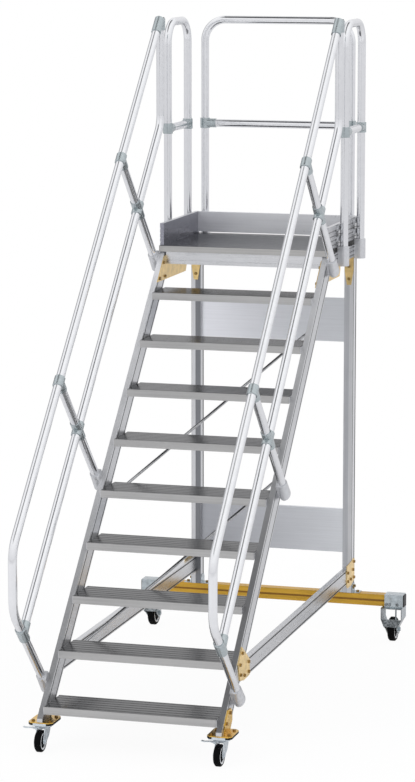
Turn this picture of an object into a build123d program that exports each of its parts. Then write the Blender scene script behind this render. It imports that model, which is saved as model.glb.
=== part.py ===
from build123d import *
import os
from math import sqrt

# Rolling warehouse ladder: a mobile platform stair with handrails, guardrails and four castors.
# Frame: millimetres, +Z up, +Y from the foot of the stair towards its back, +X to the climber's right.
# The origin is on the floor, midway between the foremost and rearmost tubes, on the mid-plane.
# Pieces that come in pairs are drawn on the right and mirrored to the left.

os.makedirs("parts", exist_ok=True)

# Stair
RISE = 208
GOING = 208
TREADS = 9
PLATFORM_Z = RISE * (TREADS + 1)
NOSE_Y = -1153                    # nosing of the bottom tread
TREAD_DEPTH = 217
TREAD_HEIGHT = 35
TREAD_SKIN = 4
RIB_PITCH = 36
RIB_GROOVE = 6
RIB_DEPTH = 1.5
END_PLATE = 3

# Stringers: box profiles at 45 degrees. A level is the height above a 45-degree line
# that starts on the floor under the bottom nosing.
CLEAR_HALF = 404                  # inner faces of the stringers
STRINGER_T = 26
STRINGER_W = 100
WALL = 2.5
OUTER_X = CLEAR_HALF + STRINGER_T
FRONT_LEVEL = 166
REAR_LEVEL = FRONT_LEVEL - STRINGER_W * sqrt(2)
MID_LEVEL = (FRONT_LEVEL + REAR_LEVEL) / 2
STRINGER_FOOT_Z = 137
STRINGER_NOSE_Y = NOSE_Y - 12     # the foot's sharp corner is cut off upright here
GROOVE_W = 7
GROOVE_DEPTH = 1.2

# Platform
DECK_T = 30
FRAME_H = 61
PLANK_PITCH = 214
PLANK_DEPTH = 213.5
DECK_FRONT = NOSE_Y + GOING * TREADS
DECK_REAR = DECK_FRONT + 3 * PLANK_PITCH
FRAME_TOP = PLATFORM_Z - DECK_T
FRAME_BOTTOM = FRAME_TOP - FRAME_H
TOE_H = 110
TOE_T = 20
TOE_WALL = 3.5
TOE_GROOVES = (12, 34, 56, 80)
TOE_GROOVE_W = 6
TOE_GROOVE_DEPTH = 2
REAR_TOE_GAP = 6                  # slit between the deck and the rear toe board
SIDE_TOE_FRONT = DECK_FRONT + 18
SIDE_BEAM_GROOVES = (10, 30, 50)  # depths below the beam's top
BEAM_DEPTH = 40
BEAM_LIP_H = 18
BEAM_LIP = 4

# Rear frame
LEG_W = 50
LEG_D = 60
LEG_REBATE_W = 28                 # the inner part of a leg's front face lies deeper
LEG_SLOT_W = 14
LEG_FRONT = NOSE_Y + 2438
LEG_REAR = LEG_FRONT + LEG_D
RAIL_BOTTOM = 310
RAIL_TOP = 390
REAR_BEAM_BOTTOM = 184
REAR_BEAM_SIZE = 60
REAR_BEAM_TOP = REAR_BEAM_BOTTOM + REAR_BEAM_SIZE
REAR_BEAM_HALF = 702
REAR_BEAM_GROOVE_W = 10
REAR_BEAM_Y = LEG_FRONT + REAR_BEAM_SIZE / 2
PANEL_T = 3
PANEL_FLANGE = 22
PANEL_SETBACK = 20
PANEL_BANDS = ((1548, 1772), (452, 678))

# Tubes
TUBE_R = 20
PLUG_HEAD_R = TUBE_R + 1
TUBE_WALL = 2.5
SIDE_RAIL_X = 456
HANDRAIL_LEVEL = RISE + 1005
KNEE_LEVEL = RISE + 480
TOP_POST_Y = NOSE_Y + 1986
TOP_POST_Z = TOP_POST_Y - NOSE_Y + HANDRAIL_LEVEL
TOP_POST_END = TOP_POST_Z - 4
PLUG_HEAD = 6
PLUG_STEM = 14
HANDRAIL_FRONT_Y = NOSE_Y - 240
LOWER_STRUT_SUM = 448             # z plus distance behind the bottom nosing, along each strut
STRUT_SUMS = (2020, 3890)
GUARD_TOP = PLATFORM_Z + 1091
GUARD_KNEE = PLATFORM_Z + 563
GUARD_BEND = 108
GUARD_POST_Y = (NOSE_Y + 2114, NOSE_Y + 2464)
REAR_GUARD_X = 385
POST_GAP = SIDE_RAIL_X - TUBE_R - OUTER_X
REAR_GUARD_Y = DECK_REAR + TUBE_R + POST_GAP
POST_FOOT = 1980

# Pipe fittings
FIT_R = 25
TEE_LENGTH = 52
CROSS_LENGTH = 73
TEE_REACH = 58
SOCKET_LENGTH = 95

# Fasteners
BOLT_R = 4
HEAD_ACROSS = 13
HEAD_H = 5.3
WASHER_R = 8
WASHER_T = 1.6
PLATE_T = 4

# Front castors
FRONT_WHEEL_R = 50
FRONT_WHEEL_W = 32
SWIVEL_X = CLEAR_HALF + STRINGER_T / 2
SWIVEL_Y = NOSE_Y + 38
TRAIL = 42
FRONT_CASTOR_TOP = 124
FOOT_PLATE_W = 114
FOOT_PLATE_FRONT = NOSE_Y - 15
FOOT_PLATE_REAR = NOSE_Y + 130
PAD_T = STRINGER_FOOT_Z - PLATE_T - FRONT_CASTOR_TOP
AXLE_R = 5
RUN_CLEARANCE = 0.06              # radial gap of every running fit

# Rear castors
REAR_WHEEL_R = 62.5
REAR_WHEEL_W = 37
REAR_CASTOR_X = 645
REAR_CASTOR_Y = REAR_BEAM_Y
REAR_CASTOR_TOP = REAR_BEAM_BOTTOM - PLATE_T
SADDLE_W = 97


def slope_y(z, level):
    """Y of the 45-degree line of that level, at height z."""
    return NOSE_Y + z - level


def save(part, name):
    """Label a finished piece and write its STEP file."""
    part.label = name
    export_step(part, f"parts/{name}.step")


def save_pair(part, name):
    """Save the right-hand piece and its mirror image."""
    save(part, f"{name}_right")
    save(mirror(part, about=Plane.YZ), f"{name}_left")


def slab(plane, points, thickness):
    """A flat piece: a closed outline on a plane, extruded along the plane's normal."""
    with BuildPart() as piece:
        with BuildSketch(plane):
            with BuildLine():
                Polyline(*points, close=True)
            make_face()
        extrude(amount=thickness)
    return piece.part


def side_slab(x, points, thickness):
    """A flat piece from an outline in Y and Z, from x outwards."""
    return slab(Plane.YZ.offset(x), points, thickness)


def pins(points, radius, length, axis):
    """Round pins that start at the points and run along the axis."""
    with BuildPart() as group:
        for point in points:
            with BuildSketch(Plane(origin=point, z_dir=axis)):
                Circle(radius)
            extrude(amount=length)
    return group.part


def bolt_group(points, axis, grip):
    """Hex bolts whose heads sit on the points and whose shanks run along the axis."""
    axis = Vector(axis)
    back = axis * -1
    with BuildPart() as group:
        for point in points:
            start = Vector(point)
            with BuildSketch(Plane(origin=start, z_dir=back)):
                Circle(WASHER_R)
            extrude(amount=WASHER_T)
            with BuildSketch(Plane(origin=start + back * WASHER_T, z_dir=back)):
                RegularPolygon(HEAD_ACROSS / sqrt(3), 6)
            extrude(amount=HEAD_H)
            with BuildSketch(Plane(origin=start, z_dir=axis)):
                Circle(BOLT_R)
            extrude(amount=grip)
    return group.part


def both_sides(part):
    """The right-hand solids together with their mirror images, as one group."""
    with BuildPart() as group:
        add(part)
        add(mirror(part, about=Plane.YZ))
    return group.part


def tube(path_points, bend_radii, start_plane):
    """A round tube swept along straight runs joined by bends."""
    with BuildLine() as spine:
        FilletPolyline(*path_points, radius=bend_radii)
    with BuildPart() as piece:
        with BuildSketch(start_plane):
            Circle(TUBE_R)
            Circle(TUBE_R - TUBE_WALL, mode=Mode.SUBTRACT)
        sweep(path=spine.line)
    return piece.part


def straight_tube(start, end):
    """A straight round tube between two points."""
    start = Vector(start)
    run = Vector(end) - start
    with BuildPart() as piece:
        with BuildSketch(Plane(origin=start, z_dir=run)):
            Circle(TUBE_R)
            Circle(TUBE_R - TUBE_WALL, mode=Mode.SUBTRACT)
        extrude(amount=run.length)
    return piece.part


# ---------------------------------------------------------------- bracket positions

UPRIGHT_BOLTS = ((NOSE_Y + 58, 178), (NOSE_Y + 120, 212))

BASE_PLATE_POINTS = (
    (NOSE_Y + 313, 466), (NOSE_Y + 443, 380), (NOSE_Y + 444, 308),
    (NOSE_Y + 342, 305), (NOSE_Y + 277, 318), (NOSE_Y + 251, 398),
)
BASE_BOLTS = (
    (NOSE_Y + 318, 436), (NOSE_Y + 282, 390), (NOSE_Y + 290, 342),
    (NOSE_Y + 424, 372), (NOSE_Y + 424, 326), (NOSE_Y + 352, 326),
)
REAR_PLATE_REAR = NOSE_Y + 2484
REAR_PLATE_POINTS = (
    (NOSE_Y + 2322, 302), (NOSE_Y + 2322, 408), (REAR_PLATE_REAR, 420),
    (REAR_PLATE_REAR, 308), (NOSE_Y + 2410, 290), (NOSE_Y + 2340, 290),
)
REAR_PLATE_BOLTS = (
    (REAR_PLATE_REAR - 14, 404), (REAR_PLATE_REAR - 14, 322), (NOSE_Y + 2452, 365),
    (NOSE_Y + 2340, 370), (NOSE_Y + 2340, 326), (NOSE_Y + 2400, 326),
)
GUSSET_POINTS = (
    (slope_y(1912, FRONT_LEVEL), 1912), (NOSE_Y + 2237, 1912), (NOSE_Y + 2255, 1945),
    (NOSE_Y + 2255, 2030), (slope_y(2030, FRONT_LEVEL), 2030),
)
GUSSET_STRINGER_BOLTS = (
    (NOSE_Y + 1955, 1999), (NOSE_Y + 1852, 1999), (NOSE_Y + 1876, 1928), (NOSE_Y + 1784, 1928),
)
GUSSET_FRAME_BOLTS = ((NOSE_Y + 2090, 2005), (NOSE_Y + 2160, 2005), (NOSE_Y + 2230, 2005))
BRACE_LEVEL = -60
BRACE_R = 7
BRACE_LUG_R = 10
BRACE_LUG_T = 6
BRACE_SPANS = ((2032, 3496), (794, 2248))   # z plus distance behind the bottom nosing, at each end


def side_points(x, points):
    """Points in a plane of constant x, from their Y and Z."""
    return [(x, y, z) for y, z in points]


# ---------------------------------------------------------------- stringers and base rails

def profile_bar(outline, void, grooves):
    """A hollow bar: outline, through void and shallow grooves in its inner and outer faces."""
    with BuildPart() as bar:
        add(side_slab(CLEAR_HALF, outline, STRINGER_T))
        add(side_slab(CLEAR_HALF + WALL, void, STRINGER_T - 2 * WALL), mode=Mode.SUBTRACT)
        for groove in grooves:
            add(side_slab(CLEAR_HALF, groove, GROOVE_DEPTH), mode=Mode.SUBTRACT)
            add(side_slab(OUTER_X - GROOVE_DEPTH, groove, GROOVE_DEPTH), mode=Mode.SUBTRACT)
    return bar.part


def slope_band(low, high, z_from, z_to):
    """Outline between two levels, cut level at both ends."""
    return [
        (slope_y(z_from, high), z_from), (slope_y(z_from, low), z_from),
        (slope_y(z_to, low), z_to), (slope_y(z_to, high), z_to),
    ]


skew_wall = WALL * sqrt(2)
skew_groove = GROOVE_W * sqrt(2)
stringer_grooves = [
    slope_band(level, level + skew_groove, 0, 2 * PLATFORM_Z)
    for level in (FRONT_LEVEL - 30, REAR_LEVEL + 12)
]
stringer_bar = profile_bar(
    slope_band(REAR_LEVEL, FRONT_LEVEL, STRINGER_FOOT_Z, FRAME_TOP),
    slope_band(REAR_LEVEL + skew_wall, FRONT_LEVEL - skew_wall, 0, 2 * PLATFORM_Z),
    stringer_grooves,
)
nose_z = STRINGER_NOSE_Y - NOSE_Y + FRONT_LEVEL
with BuildPart() as stringer:
    add(stringer_bar)
    with BuildSketch(Plane.YZ.offset(CLEAR_HALF)):
        with Locations((STRINGER_NOSE_Y, STRINGER_FOOT_Z)):
            Rectangle(2 * STRINGER_W, STRINGER_W, align=(Align.MAX, Align.CENTER))
    extrude(amount=STRINGER_T, mode=Mode.SUBTRACT)
    add(side_slab(
        CLEAR_HALF,
        [
            (STRINGER_NOSE_Y, STRINGER_FOOT_Z), (STRINGER_NOSE_Y + WALL, STRINGER_FOOT_Z),
            (STRINGER_NOSE_Y + WALL, nose_z + WALL), (STRINGER_NOSE_Y, nose_z),
        ],
        STRINGER_T,
    ))
    for hole_points in (BASE_BOLTS[:3], UPRIGHT_BOLTS):
        add(pins(side_points(OUTER_X - 5, hole_points), BOLT_R, 5, (1, 0, 0)), mode=Mode.SUBTRACT)
    add(pins(side_points(CLEAR_HALF, GUSSET_STRINGER_BOLTS), BOLT_R, 5, (1, 0, 0)), mode=Mode.SUBTRACT)
save_pair(stringer.part, "stringer")

rail_front = slope_y(RAIL_BOTTOM, REAR_LEVEL)
base_rail_bar = profile_bar(
    [
        (rail_front, RAIL_BOTTOM), (LEG_FRONT, RAIL_BOTTOM),
        (LEG_FRONT, RAIL_TOP), (slope_y(RAIL_TOP, REAR_LEVEL), RAIL_TOP),
    ],
    [
        (NOSE_Y, RAIL_BOTTOM + WALL), (LEG_REAR, RAIL_BOTTOM + WALL),
        (LEG_REAR, RAIL_TOP - WALL), (NOSE_Y, RAIL_TOP - WALL),
    ],
    [
        [(NOSE_Y, z), (LEG_REAR, z), (LEG_REAR, z + GROOVE_W), (NOSE_Y, z + GROOVE_W)]
        for z in (RAIL_BOTTOM + 5, RAIL_TOP - 5 - GROOVE_W)
    ],
)
with BuildPart() as base_rail:
    add(base_rail_bar)
    for hole_points in (BASE_BOLTS[3:], REAR_PLATE_BOLTS[3:]):
        add(pins(side_points(OUTER_X - 5, hole_points), BOLT_R, 5, (1, 0, 0)), mode=Mode.SUBTRACT)
save_pair(base_rail.part, "base_rail")


# ---------------------------------------------------------------- treads and deck planks

def plank(length, depth, height):
    """A ribbed plank along X: front nosing at Y 0, walking surface at Z 0, open underneath."""
    chamber = (depth - 5 * TREAD_SKIN) / 4
    with BuildPart() as piece:
        with BuildSketch(Plane.YZ) as section:
            with Locations((depth / 2, -height / 2)):
                Rectangle(depth, height)
            fillet(section.vertices().group_by(Axis.X)[0].sort_by(Axis.Y)[-1], radius=3)
            for cell in range(4):
                open_below = 0 if cell in (0, 3) else TREAD_SKIN
                with Locations((TREAD_SKIN + cell * (chamber + TREAD_SKIN), -TREAD_SKIN)):
                    Rectangle(
                        chamber, height - 2 * TREAD_SKIN + open_below,
                        align=(Align.MIN, Align.MAX), mode=Mode.SUBTRACT,
                    )
            grooves = int((depth - 20) / RIB_PITCH) + 1
            with Locations((depth / 2 + 4, 0)):
                with GridLocations(RIB_PITCH, 1, grooves, 1):
                    Rectangle(RIB_GROOVE, 2 * RIB_DEPTH, mode=Mode.SUBTRACT)
        extrude(amount=length / 2, both=True)
    return piece.part


tread_blank = plank(2 * (CLEAR_HALF - END_PLATE), TREAD_DEPTH, TREAD_HEIGHT)
with BuildPart() as treads:
    for step in range(TREADS):
        add(tread_blank.moved(Location((0, NOSE_Y + GOING * step, RISE * (step + 1)))))
save(treads.part, "treads")

with BuildPart() as tread_end_plates:
    for step in range(TREADS):
        with BuildSketch(Plane.YZ.offset(CLEAR_HALF - END_PLATE)):
            with Locations((NOSE_Y + GOING * step + TREAD_DEPTH / 2, RISE * (step + 1) - TREAD_HEIGHT / 2)):
                Rectangle(TREAD_DEPTH - 4, TREAD_HEIGHT - 4)
        extrude(amount=END_PLATE)
save(both_sides(tread_end_plates.part), "tread_end_plates")

plank_blank = plank(2 * OUTER_X, PLANK_DEPTH, DECK_T)
with BuildPart() as deck_planks:
    for index in range(3):
        add(plank_blank.moved(Location((0, DECK_FRONT + PLANK_PITCH * index, PLATFORM_Z))))
save(deck_planks.part, "deck_planks")


# ---------------------------------------------------------------- platform frame and toe boards

with BuildPart() as side_beam:
    add(side_slab(
        CLEAR_HALF,
        [
            (slope_y(FRAME_BOTTOM, REAR_LEVEL), FRAME_BOTTOM), (DECK_REAR, FRAME_BOTTOM),
            (DECK_REAR, FRAME_TOP), (slope_y(FRAME_TOP, REAR_LEVEL), FRAME_TOP),
        ],
        STRINGER_T,
    ))
    with BuildSketch(Plane.YZ.offset(CLEAR_HALF + WALL)):
        with Locations((DECK_FRONT, FRAME_BOTTOM + WALL)):
            Rectangle(2000, FRAME_H - 2 * WALL, align=(Align.MIN, Align.MIN))
    extrude(amount=STRINGER_T - 2 * WALL, mode=Mode.SUBTRACT)
    for drop in SIDE_BEAM_GROOVES:
        with BuildSketch(Plane.YZ.offset(OUTER_X - GROOVE_DEPTH)):
            with Locations((DECK_FRONT, FRAME_TOP - drop)):
                Rectangle(2000, GROOVE_W, align=(Align.MIN, Align.CENTER))
        extrude(amount=GROOVE_DEPTH, mode=Mode.SUBTRACT)
    add(pins(side_points(CLEAR_HALF, GUSSET_FRAME_BOLTS), BOLT_R, 5, (1, 0, 0)), mode=Mode.SUBTRACT)
save(both_sides(side_beam.part), "deck_side_beams")


def cross_section(front, inset):
    """The outline of a cross beam: a lip along the bottom stands proud of its front face."""
    step_z = FRAME_BOTTOM + BEAM_LIP_H - inset
    face = front + inset
    back = front + BEAM_DEPTH - inset
    return [
        (face, FRAME_BOTTOM + inset), (back, FRAME_BOTTOM + inset), (back, FRAME_TOP - inset),
        (face + BEAM_LIP, FRAME_TOP - inset), (face + BEAM_LIP, step_z), (face, step_z),
    ]


def cross_beam(front, half_length):
    """A hollow beam along X under the deck, stepped on its front face."""
    with BuildPart() as beam:
        add(side_slab(-half_length, cross_section(front, 0), 2 * half_length))
        add(side_slab(-half_length, cross_section(front, WALL), 2 * half_length), mode=Mode.SUBTRACT)
    return beam.part


with BuildPart() as deck_cross_beams:
    add(cross_beam(NOSE_Y + 1886, CLEAR_HALF - PLATE_T))
    add(mirror(cross_beam(-DECK_REAR, CLEAR_HALF), about=Plane.XZ, mode=Mode.PRIVATE))
save(deck_cross_beams.part, "deck_cross_beams")


def toe_board(plane, length, height, void_start):
    """A hollow board: length along the plane's X, height along its Y, grooves in its far face."""
    with BuildPart() as board:
        with BuildSketch(plane):
            Rectangle(length, height, align=(Align.MIN, Align.MIN))
        extrude(amount=TOE_T)
        with BuildSketch(plane.offset(TOE_WALL)):
            with Locations((void_start, TOE_WALL)):
                Rectangle(length + 2, height - 2 * TOE_WALL, align=(Align.MIN, Align.MIN))
        extrude(amount=TOE_T - 2 * TOE_WALL, mode=Mode.SUBTRACT)
        with BuildSketch(plane.offset(TOE_T - TOE_GROOVE_DEPTH)):
            for groove_z in TOE_GROOVES:
                with Locations((-1, groove_z)):
                    Rectangle(length + 2, TOE_GROOVE_W, align=(Align.MIN, Align.MIN))
        extrude(amount=TOE_GROOVE_DEPTH, mode=Mode.SUBTRACT)
    return board.part


side_toe_plane = Plane(
    origin=(OUTER_X - TOE_T, SIDE_TOE_FRONT, PLATFORM_Z), x_dir=(0, 1, 0), z_dir=(1, 0, 0),
)
side_toe_board = toe_board(side_toe_plane, DECK_REAR - SIDE_TOE_FRONT, TOE_H, TOE_WALL)
save(both_sides(side_toe_board), "side_toe_boards")
rear_toe_half = OUTER_X - TOE_T
rear_toe_plane = Plane(
    origin=(rear_toe_half, DECK_REAR - TOE_T, PLATFORM_Z + REAR_TOE_GAP), x_dir=(-1, 0, 0), z_dir=(0, 1, 0),
)
rear_toe_board = toe_board(rear_toe_plane, 2 * rear_toe_half, TOE_H - REAR_TOE_GAP, -1)
save(rear_toe_board, "rear_toe_board")


# ---------------------------------------------------------------- rear frame

with BuildPart() as rear_leg:
    with BuildSketch(Plane.XY.offset(REAR_BEAM_TOP)) as leg_section:
        with Locations((OUTER_X - LEG_W / 2, LEG_FRONT + LEG_D / 2)):
            Rectangle(LEG_W, LEG_D)
        fillet(leg_section.vertices(), radius=2)
        leg_chamber = (LEG_W - 3 * WALL) / 2
        for chamber_x in (OUTER_X - WALL - leg_chamber / 2, OUTER_X - LEG_W + WALL + leg_chamber / 2):
            with Locations((chamber_x, LEG_FRONT + LEG_D / 2)):
                Rectangle(leg_chamber, LEG_D - 2 * WALL, mode=Mode.SUBTRACT)
        with Locations((OUTER_X - LEG_W, LEG_FRONT)):
            Rectangle(2 * LEG_REBATE_W, 2 * GROOVE_DEPTH, mode=Mode.SUBTRACT)
        for slot_x in (OUTER_X - LEG_W, OUTER_X):
            with Locations((slot_x, LEG_REAR - LEG_SLOT_W)):
                Rectangle(2 * GROOVE_DEPTH, LEG_SLOT_W, mode=Mode.SUBTRACT)
    extrude(amount=FRAME_BOTTOM - REAR_BEAM_TOP)
    add(pins(side_points(OUTER_X - 5, REAR_PLATE_BOLTS[:3]), BOLT_R, 5, (1, 0, 0)), mode=Mode.SUBTRACT)
save_pair(rear_leg.part, "rear_leg")

panel_half = OUTER_X - LEG_W
with BuildPart() as rear_panels:
    for panel_low, panel_high in PANEL_BANDS:
        with BuildSketch(Plane.YZ):
            with Locations((LEG_FRONT + PANEL_SETBACK, panel_low)):
                Rectangle(PANEL_FLANGE, panel_high - panel_low, align=(Align.MIN, Align.MIN))
            with Locations((LEG_FRONT + PANEL_SETBACK + PANEL_T, panel_low + PANEL_T)):
                Rectangle(
                    PANEL_FLANGE, panel_high - panel_low - 2 * PANEL_T,
                    align=(Align.MIN, Align.MIN), mode=Mode.SUBTRACT,
                )
        extrude(amount=panel_half, both=True)
save(rear_panels.part, "rear_panels")

with BuildPart() as rear_beam:
    with BuildSketch(Plane.YZ):
        with Locations((REAR_BEAM_Y, REAR_BEAM_BOTTOM + REAR_BEAM_SIZE / 2)):
            RectangleRounded(REAR_BEAM_SIZE, REAR_BEAM_SIZE, 4)
            Rectangle(REAR_BEAM_SIZE - 6, REAR_BEAM_SIZE - 6, mode=Mode.SUBTRACT)
        for groove_y in (LEG_FRONT, LEG_FRONT + REAR_BEAM_SIZE):
            with Locations((groove_y, REAR_BEAM_BOTTOM + REAR_BEAM_SIZE / 2)):
                Rectangle(2 * GROOVE_DEPTH, REAR_BEAM_GROOVE_W, mode=Mode.SUBTRACT)
    extrude(amount=REAR_BEAM_HALF, both=True)
save(rear_beam.part, "rear_beam")

with BuildPart() as beam_cap:
    with BuildSketch(Plane.YZ.offset(REAR_BEAM_HALF)):
        with Locations((REAR_BEAM_Y, REAR_BEAM_BOTTOM + REAR_BEAM_SIZE / 2)):
            RectangleRounded(REAR_BEAM_SIZE, REAR_BEAM_SIZE, 4)
    extrude(amount=4)
    chamfer(beam_cap.faces().sort_by(Axis.X)[-1].edges(), length=1)
    with BuildSketch(Plane.YZ.offset(REAR_BEAM_HALF)):
        with Locations((REAR_BEAM_Y, REAR_BEAM_BOTTOM + REAR_BEAM_SIZE / 2)):
            Rectangle(REAR_BEAM_SIZE - 7, REAR_BEAM_SIZE - 7)
            Rectangle(REAR_BEAM_SIZE - 13, REAR_BEAM_SIZE - 13, mode=Mode.SUBTRACT)
    extrude(amount=-12)
save(both_sides(beam_cap.part), "beam_caps")

FOOT_ANGLE = 36
ANGLE_H = 46
foot_bolt_z = REAR_BEAM_TOP + 28
foot_bolts_side = ((LEG_FRONT + 14, foot_bolt_z), (LEG_REAR - 14, foot_bolt_z))
foot_side_spots = side_points(OUTER_X + PLATE_T, foot_bolts_side)
foot_top_spots = [
    (x, LEG_FRONT + LEG_D / 2, REAR_BEAM_TOP + PLATE_T)
    for x in (OUTER_X + PLATE_T + 22, OUTER_X - LEG_W - PLATE_T - 22)
]
with BuildPart() as leg_foot_angles:
    for angle_x in (OUTER_X, OUTER_X - LEG_W - PLATE_T):
        outward = 1 if angle_x == OUTER_X else -1
        add(side_slab(
            angle_x,
            [
                (LEG_FRONT + 3, REAR_BEAM_TOP), (LEG_REAR - 3, REAR_BEAM_TOP),
                (LEG_REAR - 3, REAR_BEAM_TOP + 30), (LEG_REAR - 12, REAR_BEAM_TOP + ANGLE_H),
                (LEG_FRONT + 12, REAR_BEAM_TOP + ANGLE_H), (LEG_FRONT + 3, REAR_BEAM_TOP + 30),
            ],
            PLATE_T,
        ))
        edge_x = angle_x + (PLATE_T if outward > 0 else 0)
        with BuildSketch(Plane.XY.offset(REAR_BEAM_TOP)):
            with Locations((edge_x + outward * FOOT_ANGLE / 2, LEG_FRONT + LEG_D / 2)):
                Rectangle(FOOT_ANGLE, LEG_D - 6)
        extrude(amount=PLATE_T)
    add(pins(foot_side_spots, BOLT_R, PLATE_T, (-1, 0, 0)), mode=Mode.SUBTRACT)
    add(pins(foot_top_spots, BOLT_R, PLATE_T, (0, 0, -1)), mode=Mode.SUBTRACT)
save(both_sides(leg_foot_angles.part), "leg_foot_angles")

# ---------------------------------------------------------------- plated brackets

with BuildPart() as gusset_plate:
    add(side_slab(CLEAR_HALF - PLATE_T, GUSSET_POINTS, PLATE_T))
    add(
        pins(
            side_points(CLEAR_HALF - PLATE_T, GUSSET_STRINGER_BOLTS + GUSSET_FRAME_BOLTS),
            BOLT_R, PLATE_T, (1, 0, 0),
        ),
        mode=Mode.SUBTRACT,
    )
save(both_sides(gusset_plate.part), "platform_gussets")

with BuildPart() as base_plate:
    add(side_slab(OUTER_X, BASE_PLATE_POINTS, PLATE_T))
    add(pins(side_points(OUTER_X, BASE_BOLTS), BOLT_R, PLATE_T, (1, 0, 0)), mode=Mode.SUBTRACT)

with BuildPart() as rear_plate:
    add(side_slab(OUTER_X, REAR_PLATE_POINTS, PLATE_T))
    add(pins(side_points(OUTER_X, REAR_PLATE_BOLTS), BOLT_R, PLATE_T, (1, 0, 0)), mode=Mode.SUBTRACT)

with BuildPart() as rail_brackets:
    add(base_plate.part)
    add(rear_plate.part)
save(both_sides(rail_brackets.part), "rail_brackets")

leg_top_x = OUTER_X - LEG_W / 2
leg_top_spots = [
    (leg_top_x, LEG_FRONT - PLATE_T, FRAME_BOTTOM - drop) for drop in (50, 114)
]
with BuildPart() as leg_top_bracket:
    add(slab(
        Plane.XZ.offset(-LEG_FRONT),
        [
            (OUTER_X - LEG_W + 2, FRAME_BOTTOM), (OUTER_X - 2, FRAME_BOTTOM),
            (OUTER_X - 2, FRAME_BOTTOM - 72), (OUTER_X - 14, FRAME_BOTTOM - 145),
            (OUTER_X - 36, FRAME_BOTTOM - 145), (OUTER_X - LEG_W + 2, FRAME_BOTTOM - 72),
        ],
        PLATE_T,
    ))
    with BuildSketch(Plane.XY.offset(FRAME_BOTTOM - PLATE_T)):
        with Locations((OUTER_X - 2, LEG_FRONT - PLATE_T)):
            Rectangle(LEG_W - 4, 44, align=(Align.MAX, Align.MAX))
    extrude(amount=PLATE_T)
    add(pins(leg_top_spots, BOLT_R, PLATE_T, (0, 1, 0)), mode=Mode.SUBTRACT)
save(both_sides(leg_top_bracket.part), "leg_top_brackets")

hidden_grip = PLATE_T + WALL

# ---------------------------------------------------------------- diagonal braces


def brace_end(side, total):
    """Where a brace's axis ends, on the side's inner tab."""
    reach = CLEAR_HALF - PLATE_T - BRACE_LUG_T
    return Vector(side * reach, NOSE_Y + (total - BRACE_LEVEL) / 2, (total + BRACE_LEVEL) / 2)


def brace_tab(total):
    """The tab that reaches back from a stringer's inner face to a brace end."""
    end = brace_end(1, total)
    offsets = ((-101, -1), (-91, 9), (12, 12), (15, -14), (-6, -22))
    return [(end.Y + dy, end.Z + dz) for dy, dz in offsets]


with BuildPart() as brace_rods:
    for low_sum, high_sum in BRACE_SPANS:
        low = brace_end(-1, low_sum)
        high = brace_end(1, high_sum)
        with BuildSketch(Plane(origin=low, z_dir=high - low)):
            Circle(BRACE_R)
        extrude(amount=(high - low).length)
        for end, side in ((low, -1), (high, 1)):
            with BuildSketch(Plane(origin=end, z_dir=(side, 0, 0))):
                Circle(BRACE_LUG_R)
            extrude(amount=BRACE_LUG_T)
save(brace_rods.part, "diagonal_braces")

with BuildPart() as brace_tabs:
    for low_sum, high_sum in BRACE_SPANS:
        add(side_slab(-CLEAR_HALF, brace_tab(low_sum), PLATE_T))
        add(side_slab(CLEAR_HALF - PLATE_T, brace_tab(high_sum), PLATE_T))
save(brace_tabs.part, "brace_tabs")

# ---------------------------------------------------------------- handrails

knee_top = (SIDE_RAIL_X, TOP_POST_Y, TOP_POST_END)
knee_corner = (SIDE_RAIL_X, TOP_POST_Y, TOP_POST_Y - NOSE_Y + KNEE_LEVEL)
down_slope = Vector(0, -1, -1).normalized()
down_back = Vector(0, 1, -1).normalized()


def on_slope(level, total):
    """The point of the handrail plane where a slope line of that level meets a strut line."""
    return Vector(SIDE_RAIL_X, NOSE_Y + (total - level) / 2, (total + level) / 2)


lower_tee = on_slope(KNEE_LEVEL, LOWER_STRUT_SUM)
knee_rail = tube(
    [knee_top, knee_corner, lower_tee - down_slope * (TUBE_R + 2)],
    100, Plane(origin=knee_top, z_dir=(0, 0, -1)),
)
save_pair(knee_rail, "knee_rail")

handrail_end_y = TOP_POST_Y - 36
handrail_start = Vector(SIDE_RAIL_X, handrail_end_y, handrail_end_y - NOSE_Y + HANDRAIL_LEVEL)
upper_bend = Vector(SIDE_RAIL_X, HANDRAIL_FRONT_Y, HANDRAIL_FRONT_Y - NOSE_Y + HANDRAIL_LEVEL)
lower_bend = Vector(SIDE_RAIL_X, HANDRAIL_FRONT_Y, LOWER_STRUT_SUM - (HANDRAIL_FRONT_Y - NOSE_Y))
handrail = tube(
    [handrail_start, upper_bend, lower_bend, lower_tee - down_back * 1],
    150, Plane(origin=handrail_start, z_dir=down_slope),
)
save_pair(handrail, "handrail")


def socket_point(total):
    """Where a strut's axis ends inside its stringer socket."""
    return on_slope(MID_LEVEL + 24, total)


with BuildPart() as struts:
    add(straight_tube(lower_tee + down_back * 1, socket_point(LOWER_STRUT_SUM)))
    for total in STRUT_SUMS:
        rail_point = on_slope(HANDRAIL_LEVEL, total)
        cross_point = on_slope(KNEE_LEVEL, total)
        add(straight_tube(rail_point + down_back * (TUBE_R + 1), cross_point - down_back * (TUBE_R + 1)))
        add(straight_tube(cross_point + down_back * (TUBE_R + 1), socket_point(total)))
save(both_sides(struts.part), "rail_struts")


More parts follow.
